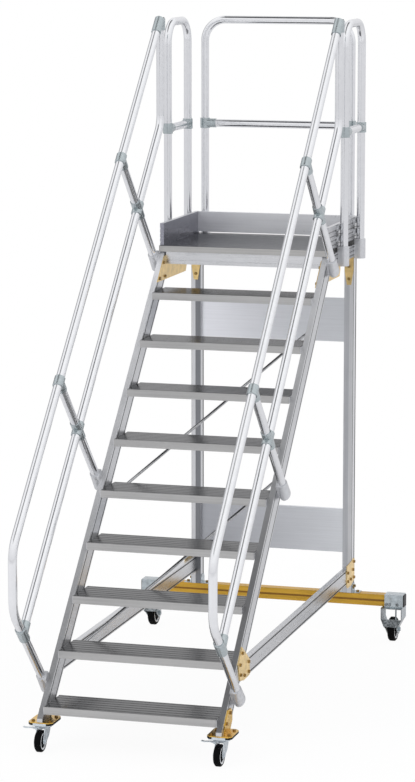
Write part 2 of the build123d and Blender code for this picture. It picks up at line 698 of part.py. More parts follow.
def fitting(main, branches, length=TEE_LENGTH):
    """A pipe fitting about its plane's origin: a sleeve along Z and branches along the plane's X."""
    with BuildPart() as piece:
        with BuildSketch(main.offset(-length / 2)):
            Circle(FIT_R)
        extrude(amount=length)
        fillet(piece.edges().filter_by(GeomType.CIRCLE), radius=2)
        for branch in branches:
            side = Plane(origin=main.origin, z_dir=main.x_dir * branch)
            with BuildSketch(side):
                Ellipse(FIT_R - 2, FIT_R)
            with BuildSketch(side.offset(TEE_REACH)):
                Ellipse(FIT_R - 2, FIT_R - 1)
            loft()
        with BuildSketch(main.offset(-length)):
            Circle(TUBE_R)
        extrude(amount=2 * length, mode=Mode.SUBTRACT)
        for branch in branches:
            side = Plane(origin=main.origin, z_dir=main.x_dir * branch)
            with BuildSketch(side.offset(TUBE_R - 6)):
                Circle(TUBE_R)
            extrude(amount=TEE_REACH, mode=Mode.SUBTRACT)
    return piece.part


slope_main = {"z_dir": down_slope, "x_dir": down_back}
with BuildPart() as handrail_tees:
    for total in STRUT_SUMS:
        add(fitting(Plane(origin=on_slope(HANDRAIL_LEVEL, total), **slope_main), (1,)))
    add(fitting(Plane(origin=lower_tee, z_dir=down_back, x_dir=down_slope), (-1,), 2 * TEE_LENGTH - 20))

with BuildPart() as cross_fittings:
    for total in STRUT_SUMS:
        add(fitting(Plane(origin=on_slope(KNEE_LEVEL, total), **slope_main), (1, -1), CROSS_LENGTH))
save(both_sides(cross_fittings.part), "tube_crosses")

top_corner = Vector(SIDE_RAIL_X, TOP_POST_Y, TOP_POST_Z)
with BuildPart() as top_fitting:
    with BuildSketch(Plane.XY.offset(TOP_POST_Z - 62)):
        with Locations((SIDE_RAIL_X, TOP_POST_Y)):
            Circle(FIT_R)
    extrude(amount=TOP_POST_END - TOP_POST_Z + 62)
    with BuildSketch(Plane(origin=top_corner + down_slope * 10, z_dir=down_slope)):
        Circle(FIT_R - 1)
    extrude(amount=90)
    with BuildSketch(Plane.XY.offset(TOP_POST_Z - 100)):
        with Locations((SIDE_RAIL_X, TOP_POST_Y)):
            Circle(TUBE_R)
    extrude(amount=150, mode=Mode.SUBTRACT)
    with BuildSketch(Plane(origin=handrail_start, z_dir=down_slope)):
        Circle(TUBE_R)
    extrude(amount=100, mode=Mode.SUBTRACT)
    with BuildSketch(Plane.XY.offset(TOP_POST_END)):
        with Locations((SIDE_RAIL_X, TOP_POST_Y)):
            Circle(PLUG_HEAD_R)
    extrude(amount=50, mode=Mode.SUBTRACT)
save(both_sides(top_fitting.part), "handrail_top_fittings")

with BuildPart() as tube_plug:
    with BuildSketch(Plane.XY.offset(TOP_POST_END)):
        with Locations((SIDE_RAIL_X, TOP_POST_Y)):
            Circle(PLUG_HEAD_R)
    extrude(amount=PLUG_HEAD)
    with BuildSketch(Plane.XY.offset(TOP_POST_END)):
        with Locations((SIDE_RAIL_X, TOP_POST_Y)):
            Circle(TUBE_R - TUBE_WALL - 0.2)
    extrude(amount=-PLUG_STEM)
save(both_sides(tube_plug.part), "tube_plugs")

with BuildPart() as strut_sockets:
    for total in (LOWER_STRUT_SUM,) + STRUT_SUMS:
        foot = Plane(origin=on_slope(MID_LEVEL, total), z_dir=down_back * -1, x_dir=(1, 0, 0))
        with BuildSketch(foot.offset(SOCKET_LENGTH - 28)):
            Circle(FIT_R)
        with BuildSketch(foot.offset(-28)):
            Ellipse(FIT_R, 36)
        loft()
        with BuildSketch(foot.offset(-28)):
            Rectangle(SIDE_RAIL_X - OUTER_X, 46, align=(Align.MAX, Align.CENTER))
        extrude(amount=SOCKET_LENGTH)
        with BuildSketch(Plane(origin=socket_point(total), z_dir=down_back * -1)):
            Circle(TUBE_R)
        extrude(amount=SOCKET_LENGTH, mode=Mode.SUBTRACT)
save(both_sides(strut_sockets.part), "strut_sockets")

# ---------------------------------------------------------------- guardrails

post_front, post_rear = GUARD_POST_Y
side_hoop = tube(
    [
        (SIDE_RAIL_X, post_front, POST_FOOT + 4), (SIDE_RAIL_X, post_front, GUARD_TOP),
        (SIDE_RAIL_X, post_rear, GUARD_TOP), (SIDE_RAIL_X, post_rear, POST_FOOT + 4),
    ],
    GUARD_BEND, Plane(origin=(SIDE_RAIL_X, post_front, POST_FOOT + 4), z_dir=(0, 0, 1)),
)
save_pair(side_hoop, "side_guardrail")

rear_hoop = tube(
    [
        (-REAR_GUARD_X, REAR_GUARD_Y, POST_FOOT + 4), (-REAR_GUARD_X, REAR_GUARD_Y, GUARD_TOP),
        (REAR_GUARD_X, REAR_GUARD_Y, GUARD_TOP), (REAR_GUARD_X, REAR_GUARD_Y, POST_FOOT + 4),
    ],
    GUARD_BEND, Plane(origin=(-REAR_GUARD_X, REAR_GUARD_Y, POST_FOOT + 4), z_dir=(0, 0, 1)),
)
save(rear_hoop, "rear_guardrail")

knee_gap = TUBE_R + 2
with BuildPart() as knee_bars:
    add(both_sides(straight_tube(
        (SIDE_RAIL_X, post_front + knee_gap, GUARD_KNEE),
        (SIDE_RAIL_X, post_rear - knee_gap, GUARD_KNEE),
    )))
    add(straight_tube(
        (-REAR_GUARD_X + knee_gap, REAR_GUARD_Y, GUARD_KNEE),
        (REAR_GUARD_X - knee_gap, REAR_GUARD_Y, GUARD_KNEE),
    ))
save(knee_bars.part, "guardrail_knee_bars")

with BuildPart() as guardrail_tees:
    for x, y, toward in (
        (SIDE_RAIL_X, post_front, (0, 1, 0)),
        (SIDE_RAIL_X, post_rear, (0, -1, 0)),
        (REAR_GUARD_X, REAR_GUARD_Y, (-1, 0, 0)),
    ):
        add(fitting(Plane(origin=(x, y, GUARD_KNEE), x_dir=toward, z_dir=(0, 0, 1)), (1,)))

with BuildPart() as tube_tees:
    add(handrail_tees.part)
    add(guardrail_tees.part)
save(both_sides(tube_tees.part), "tube_tees")

SLEEVE_H = 98
SLEEVE_R = 26


def post_sleeve(x, y, wall_axis):
    """A post sleeve with its flat pad against the platform, seen along wall_axis."""
    pad = TUBE_R + POST_GAP
    with BuildPart() as sleeve:
        with BuildSketch(Plane.XY.offset(POST_FOOT)):
            with Locations((x, y)):
                Circle(SLEEVE_R)
                with Locations((-wall_axis[0] * pad, -wall_axis[1] * pad)):
                    if wall_axis[0]:
                        Rectangle(pad - 2, 56, align=(Align.MIN, Align.CENTER))
                    else:
                        Rectangle(56, pad - 2, align=(Align.CENTER, Align.MIN))
        extrude(amount=SLEEVE_H)
        wall_x = x - wall_axis[0] * pad
        wall_y = y - wall_axis[1] * pad
        with BuildSketch(Plane.XY.offset(POST_FOOT + 4)):
            with Locations((x, y)):
                Circle(TUBE_R)
        extrude(amount=SLEEVE_H, mode=Mode.SUBTRACT)
        with BuildSketch(Plane.XY.offset(POST_FOOT)):
            with Locations((wall_x, wall_y)):
                if wall_axis[0]:
                    Rectangle(60, 200, align=(Align.MAX, Align.CENTER))
                else:
                    Rectangle(200, 60, align=(Align.CENTER, Align.MAX))
        extrude(amount=SLEEVE_H, mode=Mode.SUBTRACT)
    return sleeve.part


with BuildPart() as post_sleeves:
    for post_y in GUARD_POST_Y:
        add(post_sleeve(SIDE_RAIL_X, post_y, (1, 0)))
    add(post_sleeve(REAR_GUARD_X, REAR_GUARD_Y, (0, 1)))
save(both_sides(post_sleeves.part), "post_sleeves")

STRAP_LEVELS = (PLATFORM_Z + 38, PLATFORM_Z + 92)
with BuildPart() as post_straps:
    for strap_z in STRAP_LEVELS:
        for post_y in GUARD_POST_Y:
            with Locations((OUTER_X, post_y - 12, strap_z)):
                Box(POST_GAP, 96, 24, align=(Align.MIN, Align.CENTER, Align.CENTER))
        with Locations((REAR_GUARD_X, DECK_REAR, strap_z)):
            Box(96, POST_GAP, 24, align=(Align.CENTER, Align.MIN, Align.CENTER))
save(both_sides(post_straps.part), "post_straps")

# ---------------------------------------------------------------- front castors

foot_centre_y = (FOOT_PLATE_FRONT + FOOT_PLATE_REAR) / 2
foot_depth = FOOT_PLATE_REAR - FOOT_PLATE_FRONT
FOOT_CHAMFER = 16
UPRIGHT_POINTS = (
    (NOSE_Y + 30, STRINGER_FOOT_Z), (NOSE_Y + 118, STRINGER_FOOT_Z), (NOSE_Y + 152, 172),
    (NOSE_Y + 152, 212), (NOSE_Y + 128, 232), (NOSE_Y + 86, 232), (NOSE_Y + 30, 176),
)


def foot_outline(thickness, low):
    """The foot plate's outline with its four cut corners, extruded up from a height."""
    with BuildPart() as piece:
        with BuildSketch(Plane.XY.offset(low)) as outline:
            with Locations((SWIVEL_X, foot_centre_y)):
                Rectangle(FOOT_PLATE_W, foot_depth)
            chamfer(outline.vertices(), length=FOOT_CHAMFER)
        extrude(amount=thickness)
    return piece.part


corner_bolt_spots = [
    (SWIVEL_X + dx, foot_centre_y + dy) for dx in (-40, 40) for dy in (-42, 42)
]
with BuildPart() as foot_plate:
    add(foot_outline(PLATE_T, STRINGER_FOOT_Z - PLATE_T))
    add(side_slab(OUTER_X, UPRIGHT_POINTS, PLATE_T))
    add(pins(side_points(OUTER_X, UPRIGHT_BOLTS), BOLT_R, PLATE_T, (1, 0, 0)), mode=Mode.SUBTRACT)
    add(
        pins([(x, y, FRONT_CASTOR_TOP) for x, y in corner_bolt_spots], BOLT_R, 20, (0, 0, 1)),
        mode=Mode.SUBTRACT,
    )
save(both_sides(foot_plate.part), "foot_plates")

with BuildPart() as foot_pad:
    add(foot_outline(PAD_T, FRONT_CASTOR_TOP))
    add(
        pins([(x, y, FRONT_CASTOR_TOP) for x, y in corner_bolt_spots], BOLT_R, 20, (0, 0, 1)),
        mode=Mode.SUBTRACT,
    )
save(both_sides(foot_pad.part), "foot_pads")

TOP_PLATE_W = 100
TOP_PLATE_T = 3
KING_R = 7
RACE_R = 37
RACE_H = 9
CROWN_T = 3
race_low = FRONT_CASTOR_TOP - TOP_PLATE_T - RACE_H
with BuildPart() as castor_top:
    with BuildSketch(Plane.XY.offset(FRONT_CASTOR_TOP - TOP_PLATE_T)):
        with Locations((SWIVEL_X, foot_centre_y)):
            RectangleRounded(TOP_PLATE_W, foot_depth, 8)
    extrude(amount=TOP_PLATE_T)
    with BuildSketch(Plane.XY.offset(race_low)):
        with Locations((SWIVEL_X, SWIVEL_Y)):
            Circle(RACE_R)
    extrude(amount=RACE_H)
    chamfer(castor_top.faces().sort_by(Axis.Z)[0].edges(), length=2)
    with BuildSketch(Plane.XZ.offset(-FOOT_PLATE_FRONT)):
        with Locations((SWIVEL_X, FRONT_CASTOR_TOP - TOP_PLATE_T)):
            Rectangle(62, TOP_PLATE_T + PAD_T, align=(Align.CENTER, Align.MIN))
    extrude(amount=3)
    with BuildSketch(Plane.XY.offset(race_low)):
        with Locations((SWIVEL_X, SWIVEL_Y)):
            Circle(KING_R - RUN_CLEARANCE)
    extrude(amount=-CROWN_T - 4)
    with BuildSketch(Plane.XY.offset(race_low - CROWN_T - 4)):
        with Locations((SWIVEL_X, SWIVEL_Y)):
            Circle(KING_R + 4)
    extrude(amount=3)
    add(
        pins([(x, y, FRONT_CASTOR_TOP - 20) for x, y in corner_bolt_spots], BOLT_R, 20, (0, 0, 1)),
        mode=Mode.SUBTRACT,
    )
save(both_sides(castor_top.part), "front_castor_heads")

AXLE_Y = SWIVEL_Y - TRAIL
CHEEK_T = 3
CHEEK_GAP = FRONT_WHEEL_W / 2 + 2
CHEEK_OUT = CHEEK_GAP + CHEEK_T
crown_top = race_low - 0.5
crown_low = crown_top - CROWN_T
SKIRT_FORWARD = 29                # the crown's front skirt stands this far ahead of the swivel axis
SKIRT_LOW = 102
LEVER_PIN_R = 2.5
LEVER_PIN_X = CHEEK_OUT + 6       # the lever's pivot stands this far left of the wheel's mid-plane
LEVER_PIN_Y = SWIVEL_Y - 12
LEVER_PIN_Z = 99
LEVER_HUB_R = 5
LEVER_HALF = 8
LEVER_REACH = 90
EAR_GAP = 1
EAR_T = 3


def front_fork(x):
    """Crown disc with a front skirt, two cheeks that lean forward, and two ears for the brake lever's pin."""
    with BuildPart() as fork:
        with BuildSketch(Plane.XY.offset(crown_low)):
            with Locations((x, SWIVEL_Y)):
                Circle(RACE_R + 2)
        extrude(amount=CROWN_T)
        for cheek_x in (x - CHEEK_OUT, x + CHEEK_GAP):
            with BuildSketch(Plane.YZ.offset(cheek_x)) as cheek:
                with BuildLine():
                    Polyline(
                        (SWIVEL_Y - 31, crown_top), (SWIVEL_Y + 32, crown_top),
                        (SWIVEL_Y + 36, 88), (SWIVEL_Y + 18, 62), (AXLE_Y + 15, 37),
                        (AXLE_Y - 15, 37), (AXLE_Y - 17, 62), close=True,
                    )
                make_face()
                fillet(cheek.vertices().group_by(Axis.Y)[0], radius=12)
                fillet(cheek.vertices().sort_by(Axis.X)[-1], radius=10)
            extrude(amount=CHEEK_T)
        with BuildSketch(Plane.XY.offset(SKIRT_LOW)):
            with Locations((x, SWIVEL_Y - SKIRT_FORWARD)):
                Rectangle(2 * CHEEK_OUT, CHEEK_T)
        extrude(amount=crown_top - SKIRT_LOW)
        for ear_y in (LEVER_PIN_Y - LEVER_HALF - EAR_GAP - EAR_T, LEVER_PIN_Y + LEVER_HALF + EAR_GAP):
            with BuildSketch(Plane.XZ.offset(-ear_y)):
                with Locations((x - LEVER_PIN_X, LEVER_PIN_Z)):
                    Circle(LEVER_HUB_R)
                    Rectangle(LEVER_PIN_X - CHEEK_GAP - 1, 2 * LEVER_HUB_R, align=(Align.MIN, Align.CENTER))
            extrude(amount=-EAR_T)
        with BuildSketch(Plane.XY.offset(crown_low)):
            with Locations((x, SWIVEL_Y)):
                Circle(KING_R)
        extrude(amount=CROWN_T, mode=Mode.SUBTRACT)
        with BuildSketch(Plane.YZ.offset(x - CHEEK_OUT)):
            with Locations((AXLE_Y, FRONT_WHEEL_R)):
                Circle(AXLE_R)
        extrude(amount=2 * CHEEK_OUT, mode=Mode.SUBTRACT)
        with BuildSketch(Plane.XZ.offset(-(LEVER_PIN_Y - 20))):
            with Locations((x - LEVER_PIN_X, LEVER_PIN_Z)):
                Circle(LEVER_PIN_R)
        extrude(amount=-40, mode=Mode.SUBTRACT)
    return fork.part


def axle_bolt(x, y, z, radius, half_grip):
    """An axle along X with a hex head and a nut."""
    with BuildPart() as axle:
        with BuildSketch(Plane.YZ.offset(x)):
            with Locations((y, z)):
                Circle(radius)
        extrude(amount=half_grip, both=True)
        for end in (-1, 1):
            with BuildSketch(Plane.YZ.offset(x + end * half_grip)):
                with Locations((y, z)):
                    RegularPolygon(1.8 * radius, 6)
            extrude(amount=end * 1.2 * radius)
    return axle.part


def front_pins(x):
    """The wheel's axle and the brake lever's pin, as separate solids."""
    with BuildPart() as front_pin_pair:
        add(axle_bolt(x, AXLE_Y, FRONT_WHEEL_R, AXLE_R, CHEEK_OUT))
        half = LEVER_HALF + EAR_GAP + EAR_T
        with BuildSketch(Plane.XZ.offset(-(LEVER_PIN_Y - half))):
            with Locations((x - LEVER_PIN_X, LEVER_PIN_Z)):
                Circle(LEVER_PIN_R)
        extrude(amount=-2 * half)
    return front_pin_pair.part


def brake_lever(x):
    """A pressed lever: a hub on the pin, a thin arm out to the left and an upturned foot pad."""
    pin_x = x - LEVER_PIN_X
    with BuildPart() as lever:
        with BuildSketch(Plane.XZ.offset(-(LEVER_PIN_Y - LEVER_HALF))):
            with BuildLine():
                Polyline(
                    (pin_x, LEVER_PIN_Z + LEVER_HUB_R), (pin_x - 22, LEVER_PIN_Z + 4),
                    (x - LEVER_REACH + 12, LEVER_PIN_Z + 2), (x - LEVER_REACH, LEVER_PIN_Z + 5),
                    (x - LEVER_REACH, LEVER_PIN_Z + 2), (x - LEVER_REACH + 12, LEVER_PIN_Z - 1),
                    (pin_x - 22, LEVER_PIN_Z + 1), (pin_x, LEVER_PIN_Z - LEVER_HUB_R), close=True,
                )
            make_face()
            with Locations((pin_x, LEVER_PIN_Z)):
                Circle(LEVER_HUB_R)
                Circle(LEVER_PIN_R + RUN_CLEARANCE, mode=Mode.SUBTRACT)
        extrude(amount=-2 * LEVER_HALF)
    return lever.part


def wheel_plane(x, y, radius):
    """A plane through a wheel's axle: its X is the radius, its Y runs along the axle."""
    return Plane(origin=(x, y, radius), x_dir=(0, 0, 1), z_dir=(0, 1, 0))


def wheel_rim(x, y, radius, width, bore):
    """A rim with a raised ring at its edge, a dished web, and a hub bored for the axle."""
    rim_r = radius * 0.76
    with BuildPart() as rim:
        with BuildSketch(wheel_plane(x, y, radius)):
            with BuildLine():
                Polyline(
                    (bore, -width / 2), (bore + 7, -width / 2), (bore + 8, -width / 5),
                    (rim_r - 8, -width / 5), (rim_r - 5, -width / 2 + 1), (rim_r, -width / 2 + 1),
                    (rim_r, width / 2 - 1), (rim_r - 5, width / 2 - 1), (rim_r - 8, width / 5),
                    (bore + 8, width / 5), (bore + 7, width / 2), (bore, width / 2), close=True,
                )
            make_face()
        revolve(axis=Axis((x, y, radius), (1, 0, 0)))
    return rim.part


def wheel_tyre(x, y, radius, width):
    """A tyre with a slightly crowned tread and round shoulders."""
    rim_r = radius * 0.76
    with BuildPart() as tyre:
        with BuildSketch(wheel_plane(x, y, radius)) as half_section:
            with BuildLine():
                Polyline(
                    (rim_r, width / 2 - 1), (rim_r, -width / 2 + 1), (radius - 7, -width / 2),
                    (radius, -width / 3), (radius, width / 3), (radius - 7, width / 2), close=True,
                )
            make_face()
            fillet(half_section.vertices().sort_by(Axis.X)[-2:], radius=5)
        revolve(axis=Axis((x, y, radius), (1, 0, 0)))
    return tyre.part


for side, x in (("right", SWIVEL_X), ("left", -SWIVEL_X)):
    save(front_fork(x), f"front_castor_fork_{side}")
    save(front_pins(x), f"front_castor_pins_{side}")
    save(wheel_rim(x, AXLE_Y, FRONT_WHEEL_R, FRONT_WHEEL_W, AXLE_R + RUN_CLEARANCE), f"front_rim_{side}")
    save(wheel_tyre(x, AXLE_Y, FRONT_WHEEL_R, FRONT_WHEEL_W), f"front_tyre_{side}")
    save(brake_lever(x), f"brake_lever_{side}")

# ---------------------------------------------------------------- rear castors

SADDLE_BOLT_OFFSETS = (-30, -12, 27)
REAR_PLATE_T = 5
REAR_AXLE_R = 6
CHEEK_DEPTH = 104
CHEEK_WIDE = 55
CHEEK_NARROW = 31
REAR_CHEEK_T = 4
CHEEK_KNEE = 74
CHEEK_LOW = 38
WEB_TOP = 121
WEB_LOW = 84
rear_crown_low = REAR_CASTOR_TOP - REAR_PLATE_T

saddle_spots = [
    (REAR_CASTOR_X + dx, LEG_FRONT - PLATE_T, REAR_BEAM_BOTTOM + 12) for dx in SADDLE_BOLT_OFFSETS
]
saddle_size = REAR_BEAM_SIZE + 2 * PLATE_T
with BuildPart() as beam_saddle:
    with BuildSketch(Plane.YZ.offset(REAR_BEAM_HALF - SADDLE_W)):
        with Locations((REAR_BEAM_Y, REAR_BEAM_BOTTOM - PLATE_T)):
            Rectangle(saddle_size, saddle_size, align=(Align.CENTER, Align.MIN))
        with Locations((REAR_BEAM_Y, REAR_BEAM_BOTTOM)):
            Rectangle(
                REAR_BEAM_SIZE, REAR_BEAM_SIZE, align=(Align.CENTER, Align.MIN),
                mode=Mode.SUBTRACT,
            )
    extrude(amount=SADDLE_W)
    add(pins(saddle_spots, BOLT_R, PLATE_T, (0, 1, 0)), mode=Mode.SUBTRACT)
save(both_sides(beam_saddle.part), "beam_saddles")


def cheek_outline(inset):
    """Front view of the fork: upright at the top, tapering in to the axle. Inset gives its inside."""
    wide = CHEEK_WIDE - inset
    narrow = CHEEK_NARROW - inset
    return [
        (REAR_CASTOR_X - wide, REAR_CASTOR_TOP), (REAR_CASTOR_X + wide, REAR_CASTOR_TOP),
        (REAR_CASTOR_X + wide, WEB_TOP), (REAR_CASTOR_X + narrow, CHEEK_KNEE),
        (REAR_CASTOR_X + narrow, CHEEK_LOW), (REAR_CASTOR_X - narrow, CHEEK_LOW),
        (REAR_CASTOR_X - narrow, CHEEK_KNEE), (REAR_CASTOR_X - wide, WEB_TOP),
    ]


fork_front = REAR_CASTOR_Y - CHEEK_DEPTH / 2
fork_rear = REAR_CASTOR_Y + CHEEK_DEPTH / 2
web_reach = 66
with BuildPart() as rear_fork:
    add(slab(Plane.XZ.offset(-fork_rear), cheek_outline(0), CHEEK_DEPTH + 20))
    add(slab(Plane.XZ.offset(-fork_rear), cheek_outline(REAR_CHEEK_T), CHEEK_DEPTH + 20), mode=Mode.SUBTRACT)
    add(side_slab(
        REAR_CASTOR_X - CHEEK_WIDE,
        [
            (REAR_CASTOR_Y - web_reach, WEB_LOW), (REAR_CASTOR_Y - web_reach + 4, WEB_LOW),
            (fork_front + 4, WEB_TOP), (fork_front, WEB_TOP),
        ],
        2 * CHEEK_WIDE,
    ))
    with BuildSketch(Plane.XY.offset(rear_crown_low)):
        with Locations((REAR_CASTOR_X, REAR_CASTOR_Y)):
            Rectangle(2 * CHEEK_WIDE, CHEEK_DEPTH)
    extrude(amount=REAR_PLATE_T)
    add(slab(Plane.XZ.offset(-fork_rear), cheek_outline(0), CHEEK_DEPTH + 20), mode=Mode.INTERSECT)
    add(
        side_slab(
            REAR_CASTOR_X - CHEEK_WIDE,
            [
                (fork_front, REAR_CASTOR_TOP), (fork_rear, REAR_CASTOR_TOP), (fork_rear, WEB_TOP),
                (REAR_CASTOR_Y + 16, 46), (REAR_CASTOR_Y + 10, 40), (REAR_CASTOR_Y - 10, 40),
                (REAR_CASTOR_Y - 18, 48), (REAR_CASTOR_Y - web_reach, WEB_LOW),
                (fork_front, WEB_TOP),
            ],
            2 * CHEEK_WIDE,
        ),
        mode=Mode.INTERSECT,
    )
    with BuildSketch(Plane.XY.offset(WEB_TOP - 4)):
        with Locations((REAR_CASTOR_X + 24, fork_front + 5)):
            Circle(BOLT_R)
    extrude(amount=rear_crown_low - WEB_TOP + 4)
    with BuildSketch(Plane.YZ.offset(REAR_CASTOR_X - CHEEK_WIDE)):
        with Locations((REAR_CASTOR_Y, REAR_WHEEL_R)):
            Circle(REAR_AXLE_R)
    extrude(amount=2 * CHEEK_WIDE, mode=Mode.SUBTRACT)
save(both_sides(rear_fork.part), "rear_castor_forks")

rear_axle = axle_bolt(REAR_CASTOR_X, REAR_CASTOR_Y, REAR_WHEEL_R, REAR_AXLE_R, CHEEK_NARROW)
save(both_sides(rear_axle), "rear_castor_axles")
for side, x in (("right", REAR_CASTOR_X), ("left", -REAR_CASTOR_X)):
    rear_bore = REAR_AXLE_R + RUN_CLEARANCE
    save(wheel_rim(x, REAR_CASTOR_Y, REAR_WHEEL_R, REAR_WHEEL_W, rear_bore), f"rear_rim_{side}")
    save(wheel_tyre(x, REAR_CASTOR_Y, REAR_WHEEL_R, REAR_WHEEL_W), f"rear_tyre_{side}")

# ---------------------------------------------------------------- fasteners

with BuildPart() as foot_bolts:
    add(bolt_group(
        [(x, y, STRINGER_FOOT_Z) for x, y in corner_bolt_spots], (0, 0, -1),
        PLATE_T + PAD_T + TOP_PLATE_T,
    ))
    add(bolt_group(side_points(OUTER_X + PLATE_T, UPRIGHT_BOLTS), (-1, 0, 0), hidden_grip))

with BuildPart() as frame_bolts:
    add(foot_bolts.part)
    add(bolt_group(side_points(OUTER_X + PLATE_T, BASE_BOLTS + REAR_PLATE_BOLTS), (-1, 0, 0), hidden_grip))
    add(bolt_group(
        side_points(CLEAR_HALF - PLATE_T, GUSSET_STRINGER_BOLTS + GUSSET_FRAME_BOLTS),
        (1, 0, 0), hidden_grip,
    ))
    add(bolt_group(leg_top_spots, (0, 1, 0), PLATE_T))
    add(bolt_group(foot_side_spots, (-1, 0, 0), PLATE_T))
    add(bolt_group(foot_top_spots, (0, 0, -1), PLATE_T))
    add(bolt_group(saddle_spots, (0, 1, 0), PLATE_T))
save(both_sides(frame_bolts.part), "hex_bolts")
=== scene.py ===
import math

import bpy
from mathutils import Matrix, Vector


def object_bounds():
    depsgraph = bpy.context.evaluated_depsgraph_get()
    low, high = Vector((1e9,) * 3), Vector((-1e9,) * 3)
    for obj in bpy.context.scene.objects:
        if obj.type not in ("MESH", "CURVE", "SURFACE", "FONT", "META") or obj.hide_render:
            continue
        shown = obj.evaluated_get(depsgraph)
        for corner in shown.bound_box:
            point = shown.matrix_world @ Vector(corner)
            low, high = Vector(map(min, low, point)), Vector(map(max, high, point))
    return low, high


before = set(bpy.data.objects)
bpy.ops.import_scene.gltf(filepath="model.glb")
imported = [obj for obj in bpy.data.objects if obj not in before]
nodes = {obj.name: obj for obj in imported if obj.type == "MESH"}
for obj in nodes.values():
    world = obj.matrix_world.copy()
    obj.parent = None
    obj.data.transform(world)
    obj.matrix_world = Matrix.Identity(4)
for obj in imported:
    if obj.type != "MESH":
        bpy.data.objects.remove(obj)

cad_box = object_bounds()
scene = bpy.context.scene


# ---------------------------------------------------------------- node helpers

class Graph:
    """A material's node tree, with short calls to add and link nodes."""

    def __init__(self, tree):
        self.tree = tree
        tree.nodes.clear()

    def add(self, kind, settings=None, **inputs):
        """Adds a node. Settings are its properties; inputs are values or sockets, by input name."""
        made = self.tree.nodes.new(kind)
        for key, value in (settings or {}).items():
            setattr(made, key, value)
        for key, value in inputs.items():
            self.put(made.inputs[key.replace("_", " ")], value)
        return made

    def put(self, socket, value):
        """Links a socket, or sets a plain value."""
        if isinstance(value, bpy.types.NodeSocket):
            self.tree.links.new(value, socket)
        else:
            socket.default_value = value

    def math(self, operation, *terms, clamp=False):
        """A math node's output."""
        made = self.tree.nodes.new("ShaderNodeMath")
        made.operation = operation
        made.use_clamp = clamp
        for socket, term in zip(made.inputs, terms):
            self.put(socket, term)
        return made.outputs[0]

    def vector(self, operation, *terms):
        """A vector math node."""
        made = self.tree.nodes.new("ShaderNodeVectorMath")
        made.operation = operation
        for socket, term in zip(made.inputs, terms):
            self.put(socket, term)
        return made

    def ramp(self, value, stops):
        """A colour ramp's output. Stops are (position, grey or colour)."""
        made = self.tree.nodes.new("ShaderNodeValToRGB")
        self.put(made.inputs[0], value)
        elements = made.color_ramp.elements
        while len(elements) < len(stops):
            elements.new(0.5)
        for element, (position, colour) in zip(elements, stops):
            element.position = position
            grey = colour if isinstance(colour, tuple) else (colour, colour, colour)
            element.color = (*grey, 1.0)
        return made.outputs[0]

    def mix(self, factor, first, second, blend="MIX"):
        """A colour mix's output."""
        made = self.tree.nodes.new("ShaderNodeMix")
        made.data_type = "RGBA"
        made.blend_type = blend
        self.put(made.inputs["Factor"], factor)
        self.put(made.inputs[6], first if isinstance(first, bpy.types.NodeSocket) else (*first, 1.0))
        self.put(made.inputs[7], second if isinstance(second, bpy.types.NodeSocket) else (*second, 1.0))
        return made.outputs[2]

    def noise(self, vector, scale, detail=3.0, roughness=0.6):
        """A noise texture's grey output."""
        made = self.add(
            "ShaderNodeTexNoise", Vector=vector, Scale=scale, Detail=detail, Roughness=roughness,
        )
        return made.outputs[0]

    def place(self):
        """The point on the piece, in the piece's own coordinates."""
        return self.add("ShaderNodeTexCoord").outputs["Object"]


def stretched(graph, scale, rotation=(0.0, 0.0, 0.0)):
    """Object coordinates turned, then scaled per axis, so that noise turns into streaks."""
    turned = graph.add("ShaderNodeMapping", {"vector_type": "POINT"}, Vector=graph.place())
    turned.inputs["Rotation"].default_value = rotation
    return graph.vector("MULTIPLY", turned.outputs[0], scale).outputs[0]


def edge_mask(graph, radius):
    """White near sharp edges, where a bevelled normal leaves the true one, and that bevelled normal."""
    bevel = graph.add("ShaderNodeBevel", {"samples": 4}, Radius=radius)
    geometry = graph.add("ShaderNodeNewGeometry")
    dot = graph.vector("DOT_PRODUCT", bevel.outputs[0], geometry.outputs["Normal"])
    gap = graph.math("SUBTRACT", 1.0, dot.outputs["Value"])
    return graph.math("MULTIPLY", gap, 3.0, clamp=True), bevel.outputs[0]


# ---------------------------------------------------------------- materials

SLOPE_TURN = (math.radians(45), 0.0, 0.0)
# Grain frequencies along X, Y and Z: a low one draws the grain out into lines along that axis.
ALONG_X = (3.0, 260.0, 260.0)
ALONG_Y = (260.0, 3.0, 260.0)
ALONG_Z = (260.0, 260.0, 3.0)
BRUSHED_X = (2.0, 60.0, 60.0)
ROLLED_X = (3.0, 60.0, 60.0)
NOSING_X = (1.0, 60.0, 120.0)
BROAD = (25.0, 25.0, 25.0)
DRAWN = (30.0, 30.0, 30.0)
CLOUDY = (40.0, 40.0, 40.0)
EVEN = (60.0, 60.0, 60.0)
SPANGLE = (110.0, 110.0, 110.0)
GRIT = (300.0, 300.0, 300.0)
BLOTCH = 7.0                      # frequency of the large patches
POWDER = 900.0                    # frequency of the finest roughness
BUMP_DISTANCE = 0.0004
# Colour of the painted shade towards the outline of curved metal.
PAINTED_OUTLINE_SHADE = (0.02, 0.02, 0.022)
SHARP_ANGLE = math.radians(32)
PAINTED_RIM_SHADE = 0.45                   # how much painted shade darkens a curved metal surface towards its outline
